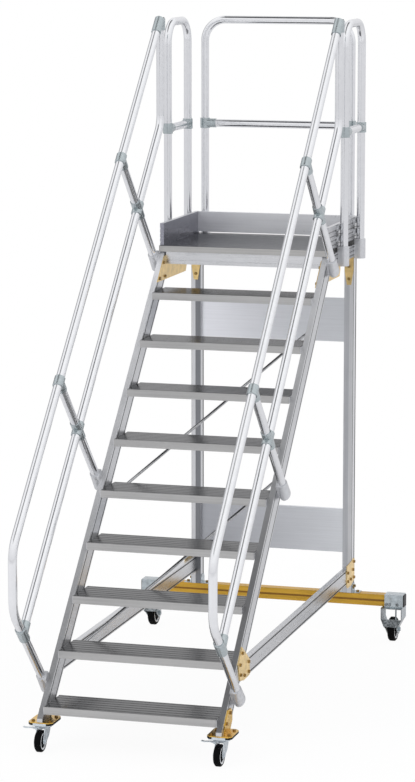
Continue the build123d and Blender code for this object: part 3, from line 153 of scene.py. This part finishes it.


def finish(name, colour, metallic, roughness, streak, rotation=(0, 0, 0), depth=0.10, spread=0.10,
           edge=0.0008, edge_gain=1.2, shade=0.10, coat=0.0, painted_outline=0.0, tint=None, relief=None,
           specular=0.5, glance=1.0):
    """A worn solid finish: directional grain in colour, roughness and height, blotches, lighter edges.

    Tint gives the base colour and relief adds to the height; both are functions of the graph. Where asked,
    painted shade darkens the colour towards the outline.
    Glance scales what a metal reflects at grazing angles.
    """
    material = bpy.data.materials.new(name)
    material.use_nodes = True
    graph = Graph(material.node_tree)
    grain = graph.noise(stretched(graph, streak, rotation), 1.0, detail=4.0)
    blotch = graph.noise(graph.place(), BLOTCH, detail=5.0)
    fine = graph.noise(graph.place(), POWDER, detail=2.0)
    edges, soft_normal = edge_mask(graph, edge)
    streaks = graph.ramp(grain, ((0.3, 1 - shade), (0.7, 1 + 0.6 * shade)))
    patches = graph.ramp(blotch, ((0.35, 1 - 0.4 * shade), (0.65, 1.0)))
    base = graph.mix(1.0, tint(graph) if tint else colour, streaks, blend="MULTIPLY")
    base = graph.mix(1.0, base, patches, blend="MULTIPLY")
    worn = graph.mix(1.0, base, (edge_gain, edge_gain, edge_gain), blend="MULTIPLY")
    base = graph.mix(edges, base, worn)
    # Painted shade: the colour darkens where the surface turns away towards its outline.
    if painted_outline:
        facing = graph.add("ShaderNodeLayerWeight", Blend=0.5).outputs["Facing"]
        outline = graph.math("MULTIPLY", graph.math("POWER", facing, 5.0), painted_outline)
        base = graph.mix(outline, base, PAINTED_OUTLINE_SHADE)
    rough = graph.math("MULTIPLY_ADD", grain, spread, roughness - spread / 2)
    rough = graph.math("MULTIPLY_ADD", graph.math("SUBTRACT", blotch, 0.5), spread, rough)
    height = graph.math("MULTIPLY_ADD", fine, 0.3, graph.math("MULTIPLY", grain, 0.7))
    if relief:
        height = graph.math("ADD", height, relief(graph))
    bump = graph.add(
        "ShaderNodeBump", Strength=depth, Distance=BUMP_DISTANCE, Height=height, Normal=soft_normal,
    )
    shader = graph.add(
        "ShaderNodeBsdfPrincipled", Base_Color=base, Metallic=metallic, Roughness=rough,
        Normal=bump.outputs[0], Coat_Weight=coat, Specular_IOR_Level=specular,
        Specular_Tint=(glance, glance, glance, 1.0),
    )
    out = graph.add("ShaderNodeOutputMaterial")
    graph.put(out.inputs[0], shader.outputs[0])
    return material


def grey(level, blue=0.02):
    """A neutral metal colour with a little blue in it."""
    return (level, level * (1 + blue / 2), level * (1 + 1.6 * blue))


def across(axis, low, high, colour_low, colour_high):
    """A tint that runs from one colour to the other along an axis of the piece."""
    def tint(graph):
        parts = graph.add("ShaderNodeSeparateXYZ", Vector=graph.place())
        share = graph.add("ShaderNodeMapRange", Value=parts.outputs[axis], From_Min=low, From_Max=high)
        return graph.mix(share.outputs[0], colour_low, colour_high)

    return tint


def box_of(name):
    """The middle and the size of a piece in its own coordinates."""
    corners = [Vector(corner) for corner in nodes[name].bound_box]
    low = Vector(min(corner[axis] for corner in corners) for axis in range(3))
    high = Vector(max(corner[axis] for corner in corners) for axis in range(3))
    return (low + high) / 2, high - low


def around(graph, middle):
    """A wheel's point as its radius and angle about the axle, and its place along the axle."""
    offset = graph.vector("SUBTRACT", graph.place(), middle).outputs[0]
    parts = graph.add("ShaderNodeSeparateXYZ", Vector=offset)
    square = graph.math("MULTIPLY", parts.outputs[1], parts.outputs[1])
    radius = graph.math("SQRT", graph.math("MULTIPLY_ADD", parts.outputs[2], parts.outputs[2], square))
    return radius, graph.math("ARCTAN2", parts.outputs[2], parts.outputs[1]), parts.outputs[0]


RING_WIDTH = 0.0065
RING_PALE = (0.85, 0.87, 0.88)
HUB_DARK = (0.012, 0.013, 0.014)
TREAD_BLOCKS = 46
TREAD_START = 0.94                # share of the tyre's radius where its blocks begin
BLOCK_SLANT = 160.0
BLOCK_SHARE = -0.4                # level of the wave above which a block stands
BLOCK_HEIGHT = 3.0


def rim_finish(name):
    """A wheel rim: a pale ring at its edge, dark towards the hub."""
    middle, size = box_of(name)
    ring_start = size[1] / 2 - RING_WIDTH

    def tint(graph):
        radius = around(graph, middle)[0]
        return graph.mix(graph.math("GREATER_THAN", radius, ring_start), HUB_DARK, RING_PALE)

    return finish(f"rim_of_{name}", None, 0.0, 0.40, GRIT, depth=0.2, tint=tint, specular=0.1)


def tyre_finish(name):
    """A rubber tyre with shallow blocks around its tread."""
    middle, size = box_of(name)
    tread_start = size[1] / 2 * TREAD_START

    def relief(graph):
        radius, angle, across_axle = around(graph, middle)
        slant = graph.math("MULTIPLY", graph.math("ABSOLUTE", across_axle), BLOCK_SLANT)
        wave = graph.math("SINE", graph.math("MULTIPLY_ADD", angle, TREAD_BLOCKS, slant))
        blocks = graph.math("MULTIPLY", graph.math("GREATER_THAN", wave, BLOCK_SHARE), BLOCK_HEIGHT)
        return graph.math("MULTIPLY", blocks, graph.math("GREATER_THAN", radius, tread_start))

    return finish(
        f"tyre_of_{name}", (0.003, 0.003, 0.0035), 0.0, 0.5, GRIT, depth=0.6, relief=relief, specular=0.05,
    )


def dress(material, *names):
    """Gives whole pieces a material, and shades their curved faces smoothly."""
    for name in names:
        mesh = nodes[name].data
        mesh.materials.clear()
        mesh.materials.append(material)
        for face in mesh.polygons:
            face.use_smooth = True
        mesh.set_sharp_from_angle(angle=SHARP_ANGLE)


def dress_faces(material, name, wanted):
    """Gives a material to the faces of a piece whose middle and normal pass a test, in the shared frame."""
    piece = nodes[name]
    turn = piece.matrix_world.to_3x3()
    piece.data.materials.append(material)
    slot = len(piece.data.materials) - 1
    for face in piece.data.polygons:
        if wanted(piece.matrix_world @ face.center, turn @ face.normal):
            face.material_index = slot


# Heights on the stringer fronts between which painted light rises from dark to bright, left and right.
FRONT_LOW = 0.25
FRONT_DIM = 0.70
FRONT_HIGH = 1.95
PANEL_SPAN = (-0.30, 0.38)
DECK_SPAN = (-0.35, 0.30)
TOE_SPAN = (-0.40, 0.25)
slope_profile = finish("slope_profile", grey(0.62), 1.0, 0.30, ALONG_Y, SLOPE_TURN)
# Stringer fronts in painted light: darker low, lighter high, and the right front darker than the left.
left_front_painted_light = finish("left_front_painted_light", None, 0.6, 0.36, ALONG_Y, SLOPE_TURN,
                          tint=across(2, FRONT_LOW, FRONT_HIGH, grey(0.32), grey(0.83)))
right_front_painted_light = finish("right_front_painted_light", None, 0.6, 0.36, ALONG_Y, SLOPE_TURN,
                           tint=across(2, FRONT_DIM, FRONT_HIGH, grey(0.21), grey(0.74)))
# Groove faces darkened as painted shade, one dark and one paler.
groove_painted_shade = finish("groove_painted_shade", grey(0.07), 1.0, 0.45, EVEN, depth=0.2)
pale_painted_groove_shade = finish("pale_painted_groove_shade", grey(0.30), 1.0, 0.45, EVEN, depth=0.2)
level_profile = finish("level_profile", grey(0.60), 1.0, 0.28, ALONG_Y)
cross_profile = finish("cross_profile", grey(0.70), 1.0, 0.28, ALONG_X)
# The right rear leg takes a lighter copy of the profile as painted light.
upright_profile = finish("upright_profile", grey(0.64), 1.0, 0.30, ALONG_Z)
right_upright_painted_light = finish("right_upright_painted_light", grey(0.74), 1.0, 0.30, ALONG_Z)
# Rebate faces of the rear legs: painted shade on the left, painted light on the right.
left_rebate_painted_shade = finish("left_rebate_painted_shade", grey(0.22, 0.06), 1.0, 0.30, ALONG_Z)
right_rebate_painted_light = finish("right_rebate_painted_light", grey(0.60, 0.04), 1.0, 0.30, ALONG_Z)
# Rear panels in painted light across their width; the lower sheet is a darker copy in painted shade.
panel_upper_painted_light = finish(
    "panel_upper_painted_light", None, 1.0, 0.40, ALONG_X, shade=0.05,
    tint=across(0, *PANEL_SPAN, (0.85, 0.86, 0.90), (0.78, 0.80, 0.83)),
)
panel_lower_painted_shade = finish(
    "panel_lower_painted_shade", None, 1.0, 0.40, ALONG_X, shade=0.05,
    tint=across(0, *PANEL_SPAN, (0.44, 0.45, 0.48), (0.82, 0.84, 0.87)),
)
tread_top = finish("tread_top", grey(0.27, 0.0), 1.0, 0.20, BRUSHED_X, shade=0.10, spread=0.06,
                   glance=0.60)
tread_front = finish("tread_front", grey(0.48, -0.01), 1.0, 0.34, NOSING_X, shade=0.12)
# Groove faces of treads and deck planks darkened as painted shade.
tread_rib_painted_shade = finish("tread_rib_painted_shade", grey(0.09), 1.0, 0.40, ALONG_X, glance=0.2)
# Deck top in painted light: darker to the left, lighter to the right.
deck_surface_painted_light = finish(
    "deck_surface_painted_light", None, 1.0, 0.20, BRUSHED_X, shade=0.10, spread=0.06, glance=0.6,
    tint=across(0, *DECK_SPAN, (0.20, 0.205, 0.22), (0.42, 0.42, 0.43)),
)
deck_front = finish("deck_front", grey(0.49, -0.02), 1.0, 0.34, NOSING_X)
# Toe boards in painted light: a ramp across the rear board, and darker inner faces on the side boards.
back_toe_painted_light = finish(
    "back_toe_painted_light", None, 0.6, 0.30, BRUSHED_X, shade=0.06,
    tint=across(0, *TOE_SPAN, (0.82, 0.83, 0.86), (0.74, 0.75, 0.77)),
)
toe_board_inside_painted_shade = finish("toe_board_inside_painted_shade", (0.38, 0.38, 0.43), 1.0, 0.26, ALONG_Y, glance=0.8)
toe_board_outside_painted_light = finish("toe_board_outside_painted_light", grey(0.55), 1.0, 0.30, ALONG_Y)
# Tubes, castings, zinc parts and rods below carry painted shade towards their outlines.
tube_metal = finish("tube_metal", grey(0.80, 0.02), 1.0, 0.14, DRAWN, shade=0.03, depth=0.03,
                    spread=0.05, painted_outline=0.4)
casting = finish("casting", (0.46, 0.51, 0.525), 0.9, 0.26, EVEN, depth=0.3, painted_outline=PAINTED_RIM_SHADE)
pale_casting = finish("pale_casting", (0.64, 0.65, 0.67), 0.6, 0.34, EVEN, depth=0.3, painted_outline=PAINTED_RIM_SHADE)
yellow_zinc = finish("yellow_zinc", (0.88, 0.65, 0.29), 0.85, 0.34, BROAD, shade=0.25)
foot_gold = finish("foot_gold", (0.80, 0.50, 0.10), 0.85, 0.28, BROAD, shade=0.30)
yellow_paint = finish("yellow_paint", (0.62, 0.36, 0.045), 0.2, 0.36, ROLLED_X, shade=0.2,
                      specular=0.2)
# A dark copy of the beam's yellow as painted shade in its groove.
painted_shade_beam_groove = finish("painted_shade_beam_groove", (0.24, 0.11, 0.005), 0.2, 0.45, ROLLED_X)
bright_zinc = finish("bright_zinc", (0.56, 0.62, 0.65), 1.0, 0.24, CLOUDY, shade=0.3, painted_outline=0.8)
# Bolts in yellow zinc, their gold real and their extra darkness painted shade.
bolt_gold_painted_shade = finish("bolt_gold_painted_shade", (0.38, 0.25, 0.09), 1.0, 0.34, EVEN, shade=0.3)
rod_metal = finish("rod_metal", grey(0.50), 1.0, 0.28, EVEN, shade=0.2, painted_outline=0.7)
# A darker copy of bright zinc: painted shade on shadowed bolts and fork faces.
zinc_painted_shade = finish("zinc_painted_shade", (0.34, 0.37, 0.385), 1.0, 0.34, SPANGLE, shade=0.9)
pale_zinc = finish("pale_zinc", (0.66, 0.72, 0.76), 0.5, 0.30, CLOUDY, shade=0.2, painted_outline=0.5)
# Near black painted shade for the slots in the rear legs.
leg_slot_painted_shade = finish("leg_slot_painted_shade", grey(0.02), 1.0, 0.5, EVEN, depth=0.2)
dark_plastic = finish("dark_plastic", (0.012, 0.012, 0.013), 0.0, 0.45, GRIT, depth=0.3, specular=0.2)
pad_rubber = finish("pad_rubber", (0.010, 0.010, 0.010), 0.0, 0.6, GRIT, depth=0.4, specular=0.15)

SIDES = ("left", "right")
dress(slope_profile, "stringer_left", "stringer_right", "tread_end_plates")
dress(level_profile, "base_rail_left", "base_rail_right", "deck_side_beams")
dress(cross_profile, "deck_cross_beams")
dress(upright_profile, "rear_leg_left")
dress(right_upright_painted_light, "rear_leg_right")
dress(panel_upper_painted_light, "rear_panels")
dress(tread_top, "treads")
dress(deck_surface_painted_light, "deck_planks")
dress(back_toe_painted_light, "rear_toe_board")
dress(toe_board_inside_painted_shade, "side_toe_boards")
dress(
    tube_metal, "guardrail_knee_bars", "handrail_left", "handrail_right", "knee_rail_left",
    "knee_rail_right", "rail_struts", "rear_guardrail", "side_guardrail_left", "side_guardrail_right",
)
dress(casting, "handrail_top_fittings", "tube_crosses", "tube_tees")
dress(pale_casting, "post_sleeves", "strut_sockets", "post_straps")
dress(yellow_zinc, "platform_gussets", "leg_top_brackets", "rail_brackets")
dress(foot_gold, "foot_plates")
dress(yellow_paint, "rear_beam")
dress(bright_zinc, "beam_saddles", "leg_foot_angles", "rear_castor_axles", "rear_castor_forks")
dress(pale_zinc, "front_castor_heads")
dress(bolt_gold_painted_shade, "hex_bolts")
dress(rod_metal, "diagonal_braces", "brace_tabs")
dress(dark_plastic, "beam_caps", "tube_plugs")
dress(pad_rubber, "foot_pads")
for side in SIDES:
    dress(pale_zinc, f"front_castor_fork_{side}", f"front_castor_pins_{side}", f"brake_lever_{side}")
    for end in ("front", "rear"):
        dress(rim_finish(f"{end}_rim_{side}"), f"{end}_rim_{side}")
        dress(tyre_finish(f"{end}_tyre_{side}"), f"{end}_tyre_{side}")

# ---------------------------------------------------------------- faces with their own finish

HALF_TURN = math.sqrt(0.5)        # both parts of a unit normal that slopes at 45 degrees
NEAR = 0.0004                     # slack when a face's place is compared with a length below
FACING = 0.9                      # part of a unit normal beyond which a face looks along an axis
NOSE_Y = -1.153
TREAD_STEP = 0.208
DECK_START_Y = 0.719
PLANK_STEP = 0.214
INNER_X = 0.404
OUTER_X = 0.430
GROOVE_DEPTH = 0.0012
LEG_FRONT = NOSE_Y + 2.438
LEG_INNER_X = 0.380
LEG_REBATE_X = 0.408
DECK_TOP = 2.08
RIB_DEPTH = 0.0015
NOSE_DEPTH = 0.010
TOE_GROOVE_DEPTH = 0.002
REAR_CASTOR_X = 0.645
SADDLE_X = 0.55


def in_side_groove(middle, normal):
    """The floor or a wall of a groove in the inner or outer face of a profile."""
    below_inner = abs(middle.x) - INNER_X
    below_outer = OUTER_X - abs(middle.x)
    return NEAR / 2 < min(below_inner, below_outer) < GROOVE_DEPTH + NEAR


for side in SIDES:
    # Each stringer front takes its painted light.
    front = left_front_painted_light if side == "left" else right_front_painted_light
    dress_faces(front, f"stringer_{side}", lambda middle, normal: normal.z - normal.y > 1.9 * HALF_TURN)
    # Grooves in the stringer and base rail sides get painted shade.
    dress_faces(groove_painted_shade, f"stringer_{side}", in_side_groove)
    dress_faces(groove_painted_shade, f"base_rail_{side}", in_side_groove)
    # The rebate face of each rear leg gets its painted shade or painted light.
    rebate = left_rebate_painted_shade if side == "left" else right_rebate_painted_light
    dress_faces(rebate, f"rear_leg_{side}", lambda middle, normal: (
        normal.y < -FACING and abs(middle.x) < LEG_REBATE_X and middle.y > LEG_FRONT + GROOVE_DEPTH - NEAR
    ))
    # The slots in each rear leg are painted near black as shade.
    dress_faces(leg_slot_painted_shade, f"rear_leg_{side}", lambda middle, normal: (
        NEAR / 2 < min(abs(middle.x) - LEG_INNER_X, OUTER_X - abs(middle.x)) < GROOVE_DEPTH + NEAR
    ))
# The lower part of the rear panels takes the painted shade.
dress_faces(panel_lower_painted_shade, "rear_panels", lambda middle, normal: middle.z < DECK_TOP / 2)
# Grooves in the deck side beams get paler painted shade.
dress_faces(pale_painted_groove_shade, "deck_side_beams", in_side_groove)
for name, front, first_y, pitch_y, pitch_z in (
    ("treads", tread_front, NOSE_Y, TREAD_STEP, TREAD_STEP),
    ("deck_planks", deck_front, DECK_START_Y, PLANK_STEP, DECK_TOP),
):
    def is_groove(middle, normal):
        """The floor or a wall of a groove in the walking surface."""
        below_top = -((middle.z + pitch_z / 2) % pitch_z - pitch_z / 2)
        floor = normal.z > FACING and RIB_DEPTH - NEAR < below_top < RIB_DEPTH + NEAR
        wall = abs(normal.y) > FACING and below_top < RIB_DEPTH
        return floor or wall and (middle.y - first_y) % pitch_y > NOSE_DEPTH

    dress_faces(front, name, lambda middle, normal: normal.y < -0.7)
    # Grooves in the walking surfaces take painted shade.
    dress_faces(tread_rib_painted_shade, name, is_groove)
# Outer faces and tops of the side toe boards take painted light, lighter than their inner faces.
dress_faces(toe_board_outside_painted_light, "side_toe_boards", lambda middle, normal: (
    abs(normal.x) > FACING and abs(middle.x) > OUTER_X - NEAR or normal.z > FACING
))
# The groove in the side toe boards gets paler painted shade.
dress_faces(pale_painted_groove_shade, "side_toe_boards", lambda middle, normal: (
    abs(normal.x) > FACING and abs(abs(middle.x) - OUTER_X + TOE_GROOVE_DEPTH) < NEAR
))
# Bolts at the saddles, fork fronts and inner fork cheeks take the zinc's painted shade.
dress_faces(zinc_painted_shade, "hex_bolts", lambda middle, normal: abs(middle.x) > SADDLE_X)
dress_faces(zinc_painted_shade, "rear_castor_forks", lambda middle, normal: (
    normal.y < -FACING or normal.x * math.copysign(1.0, middle.x) * (abs(middle.x) - REAR_CASTOR_X) < -0.01
))
# The groove along the rear beam takes painted shade.
dress_faces(painted_shade_beam_groove, "rear_beam", lambda middle, normal: (
    abs(normal.y) > FACING and abs(middle.y - LEG_FRONT - GROOVE_DEPTH) < NEAR
))

# ---------------------------------------------------------------- floor, light and camera

low, high = (Vector(corner) for corner in cad_box)
centre = (low + high) / 2

FLOOR_REACH = 60.0
FLOOR_TONES = ((0.92, 0.92, 0.92), (0.94, 0.94, 0.94))
MELT_START = 0.5
MELT_END = 3.5
MELT_SHARE = 0.93
floor_mesh = bpy.data.meshes.new("studio_floor")
floor_mesh.from_pydata(
    [(-FLOOR_REACH, -FLOOR_REACH, 0), (FLOOR_REACH, -FLOOR_REACH, 0),
     (FLOOR_REACH, FLOOR_REACH, 0), (-FLOOR_REACH, FLOOR_REACH, 0)],
    [], [(0, 1, 2, 3)],
)
floor = bpy.data.objects.new("studio_floor", floor_mesh)
scene.collection.objects.link(floor)
floor_material = bpy.data.materials.new("studio_floor")
floor_material.use_nodes = True
floor_graph = Graph(floor_material.node_tree)
floor_tone = floor_graph.noise(floor_graph.place(), 2.0)
floor_colour = floor_graph.mix(floor_tone, *FLOOR_TONES)
floor_shader = floor_graph.add("ShaderNodeBsdfPrincipled", Base_Color=floor_colour, Roughness=0.95)
floor_shader.inputs["Specular IOR Level"].default_value = 0.0
floor_glow = floor_graph.add("ShaderNodeEmission", Strength=1.0)
distance = floor_graph.vector("LENGTH", floor_graph.place()).outputs["Value"]
melt = floor_graph.add(
    "ShaderNodeMapRange", Value=distance, From_Min=MELT_START, From_Max=MELT_END,
    To_Min=MELT_SHARE, To_Max=1.0,
)
seen = floor_graph.add("ShaderNodeLightPath").outputs["Is Camera Ray"]
floor_mix = floor_graph.add("ShaderNodeMixShader")
floor_graph.put(floor_mix.inputs[0], floor_graph.math("MULTIPLY", melt.outputs[0], seen))
floor_graph.put(floor_mix.inputs[1], floor_shader.outputs[0])
floor_graph.put(floor_mix.inputs[2], floor_glow.outputs[0])
floor_out = floor_graph.add("ShaderNodeOutputMaterial")
floor_graph.put(floor_out.inputs[0], floor_mix.outputs[0])
floor_mesh.materials.append(floor_material)

# Reflections see pale walls that brighten upwards, one soft dark band overhead from front to back,
# and a grey flag behind to the left.
BAND_NORMAL = (0.962, -0.191, 0.191)
BAND_WIDTH = 0.20
BAND_LOW = 0.70
BAND_FULL = 0.85
FLAG_DIRECTION = (-0.784, 0.586, 0.202)
FLAG_EDGE = 0.88
WALL_TOP = 0.9
WALL_LOW_TONE = (0.88, 0.88, 0.90)
WALL_HIGH_TONE = (1.15, 1.15, 1.16)
FLAG_TONE = (0.42, 0.42, 0.43)
BAND_TONE = (0.02, 0.02, 0.025)
DIFFUSE_TONE = (0.85, 0.85, 0.87)
BACKDROP_TONE = (1.0, 1.0, 1.0)
world = bpy.data.worlds.new("studio")
scene.world = world
world.use_nodes = True
sky = Graph(world.node_tree)
direction = sky.add("ShaderNodeTexCoord").outputs["Generated"]
off_band = sky.vector("DOT_PRODUCT", direction, BAND_NORMAL).outputs["Value"]
band = sky.math("EXPONENT", sky.math(
    "MULTIPLY", sky.math("POWER", sky.math("ABSOLUTE", off_band), 2.0), -1 / BAND_WIDTH ** 2,
))
height = sky.add("ShaderNodeSeparateXYZ", Vector=direction).outputs[2]
overhead = sky.add("ShaderNodeMapRange", Value=height, From_Min=BAND_LOW, From_Max=BAND_FULL).outputs[0]
climb = sky.add("ShaderNodeMapRange", Value=height, From_Min=0.0, From_Max=WALL_TOP).outputs[0]
walls = sky.mix(climb, WALL_LOW_TONE, WALL_HIGH_TONE)
towards_flag = sky.vector("DOT_PRODUCT", direction, FLAG_DIRECTION).outputs["Value"]
flag = sky.add("ShaderNodeMapRange", Value=towards_flag, From_Min=FLAG_EDGE, From_Max=1.0).outputs[0]
walls = sky.mix(flag, walls, FLAG_TONE)
studio = sky.mix(sky.math("MULTIPLY", band, overhead), walls, BAND_TONE)
rays = sky.add("ShaderNodeLightPath")
lit = sky.mix(rays.outputs["Is Diffuse Ray"], studio, DIFFUSE_TONE)
shown = sky.mix(rays.outputs["Is Camera Ray"], lit, BACKDROP_TONE)
backdrop = sky.add("ShaderNodeBackground", Color=shown, Strength=1.0)
world_out = sky.add("ShaderNodeOutputWorld")
sky.put(world_out.inputs[0], backdrop.outputs[0])


def softbox(name, place, size, power):
    """A large soft area light aimed at the middle of the object."""
    light = bpy.data.lights.new(name, "AREA")
    light.shape = "RECTANGLE"
    light.size, light.size_y = size
    light.energy = power
    lamp = bpy.data.objects.new(name, light)
    lamp.location = place
    lamp.rotation_euler = (centre - Vector(place)).to_track_quat("-Z", "Y").to_euler()
    lamp.visible_glossy = False
    scene.collection.objects.link(lamp)


softbox("key_light", (-5.0, -6.5, 7.0), (4.0, 4.0), 160)
softbox("fill_light", (7.0, -4.0, 5.0), (3.0, 5.0), 80)

AZIMUTH = math.radians(16.14)
ELEVATION = math.radians(9.19)
DISTANCE = 13.792
AIM = Vector((0.2119, -0.633, 1.5874))
LENS = 140.7
CLIP_END = 300
back = Vector((
    math.sin(AZIMUTH) * math.cos(ELEVATION),
    -math.cos(AZIMUTH) * math.cos(ELEVATION),
    math.sin(ELEVATION),
))
camera_data = bpy.data.cameras.new("camera")
camera_data.lens = LENS
camera_data.clip_end = CLIP_END
camera = bpy.data.objects.new("camera", camera_data)
camera.location = AIM + back * DISTANCE
camera.rotation_euler = (-back).to_track_quat("-Z", "Y").to_euler()
scene.collection.objects.link(camera)
scene.camera = camera
scene.view_settings.view_transform = "Standard"
